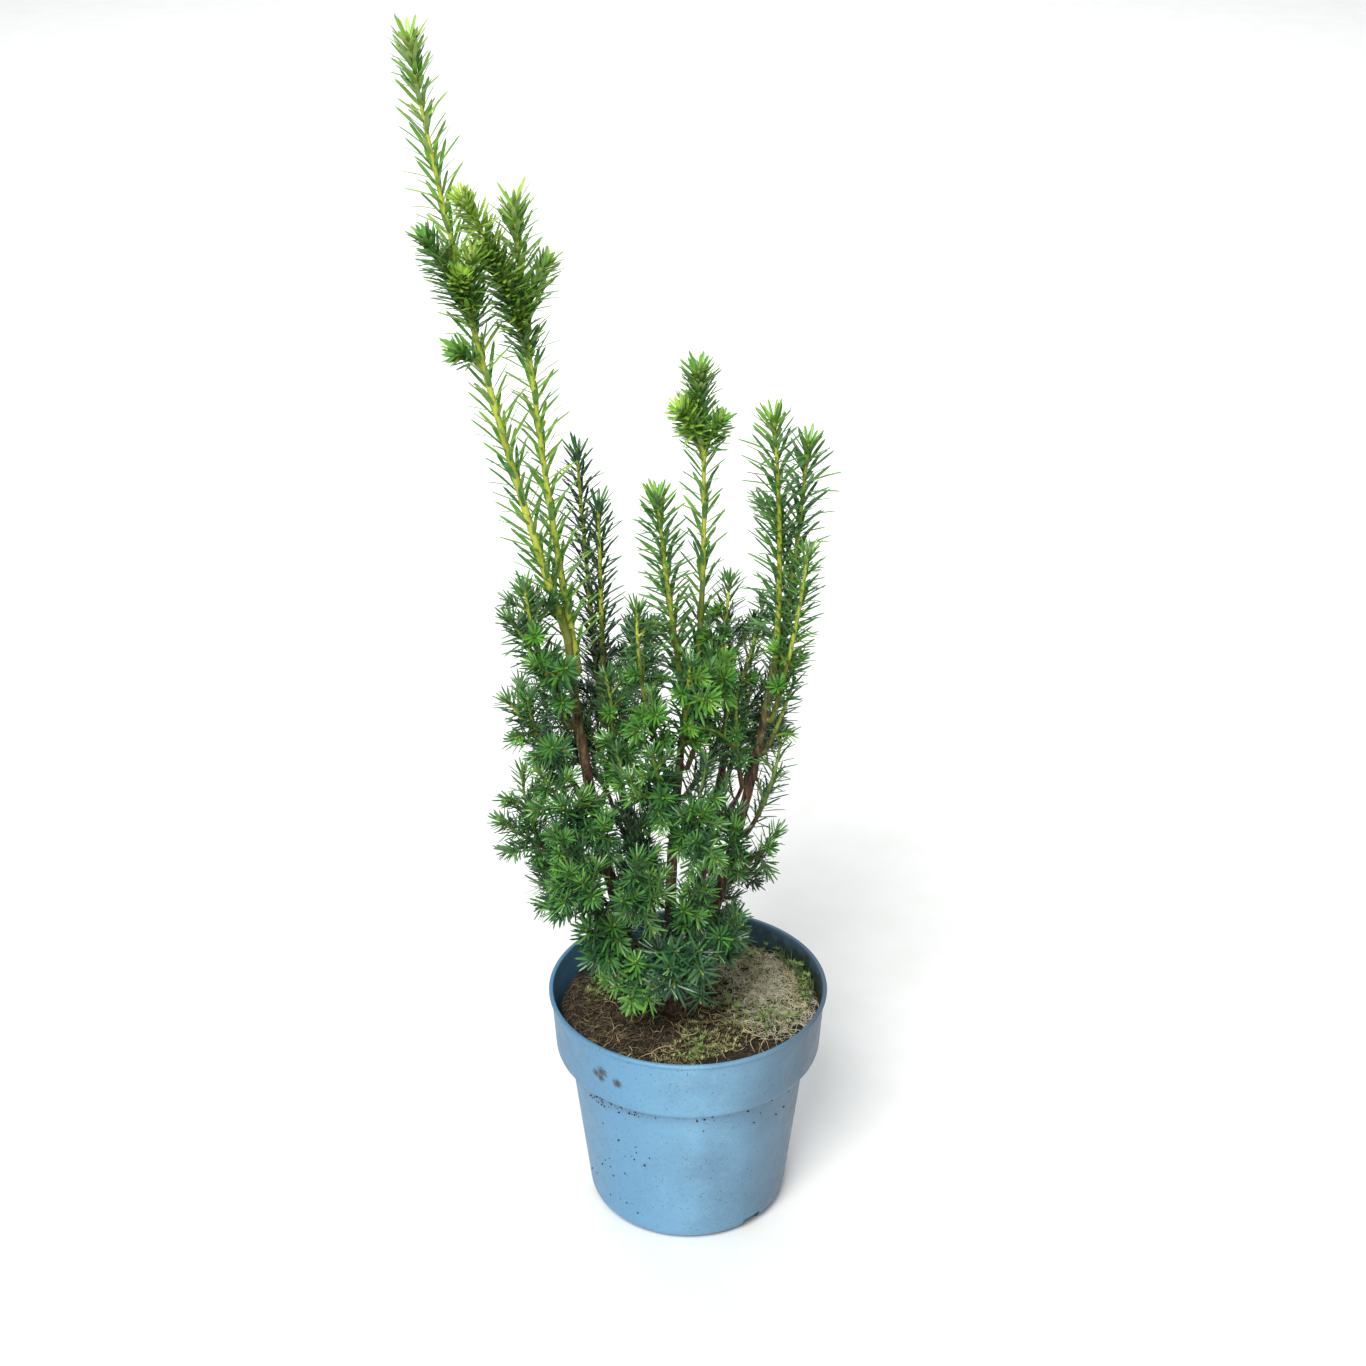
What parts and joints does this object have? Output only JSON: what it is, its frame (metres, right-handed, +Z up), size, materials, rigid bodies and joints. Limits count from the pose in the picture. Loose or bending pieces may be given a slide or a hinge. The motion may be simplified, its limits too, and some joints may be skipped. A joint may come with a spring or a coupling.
{
  "type": "potted hicksii yew",
  "caption": "Young upright evergreen shrub with needle foliage on forked stems, growing in a round plastic nursery pot.",
  "frame": {"origin": "middle of the flat underside of the pot, on the surface that the plant stands on", "axes": "+Z up along the plant, -Y towards the side that faces the camera in the picture, +X to that view's right"},
  "size_m": [0.2641, 0.2104, 0.8291],
  "materials": {
    "pot_plastic": "matt light blue moulded plastic",
    "peat": "rough fibrous peat",
    "bark": "thin scaly red-brown bark",
    "foliage": "satin dark green needles"
  },
  "bodies": {
    "root": {"bough_back_left": "bark", "bough_back_right": "bark", "bough_front": "bark", "bough_front_left": "bark", "bough_left_low": "bark", "bough_right_low": "bark", "leader_back_left": "foliage", "leader_back_middle": "foliage", "leader_back_right": "foliage", "leader_inner": "foliage", "leader_middle": "foliage", "leader_middle_left": "foliage", "leader_right": "foliage", "leader_right_outer": "foliage", "leader_tall": "foliage", "pot": "pot_plastic", "skirt_back_left": "foliage", "skirt_back_right": "foliage", "skirt_far_left": "foliage", "skirt_front": "foliage", "skirt_inner_left": "foliage", "skirt_left": "foliage", "skirt_right": "foliage", "soil": "peat", "spray_back_left": "foliage", "spray_back_left_low": "foliage", "spray_back_middle": "foliage", "spray_back_right": "foliage", "spray_back_right_low": "foliage", "spray_front": "foliage", "spray_front_high": "foliage", "spray_front_left": "foliage", "spray_front_low": "foliage", "spray_front_right": "foliage", "spray_left_front": "foliage", "spray_left_inner": "foliage", "spray_left_low": "foliage", "spray_left_mid": "foliage", "spray_left_outer": "foliage", "spray_left_skirt": "foliage", "spray_middle_front": "foliage", "spray_middle_left": "foliage", "spray_middle_right": "foliage", "spray_right_front": "foliage", "spray_right_inner": "foliage", "spray_right_low": "foliage", "spray_right_mid": "foliage", "spray_right_outer": "foliage", "spray_right_small": "foliage", "spur_right": "foliage", "stem_back_left": "bark", "stem_back_right": "bark", "stem_left": "bark", "stem_middle": "bark", "stem_right": "bark", "trunk": "bark"}
  },
  "joints": []
}
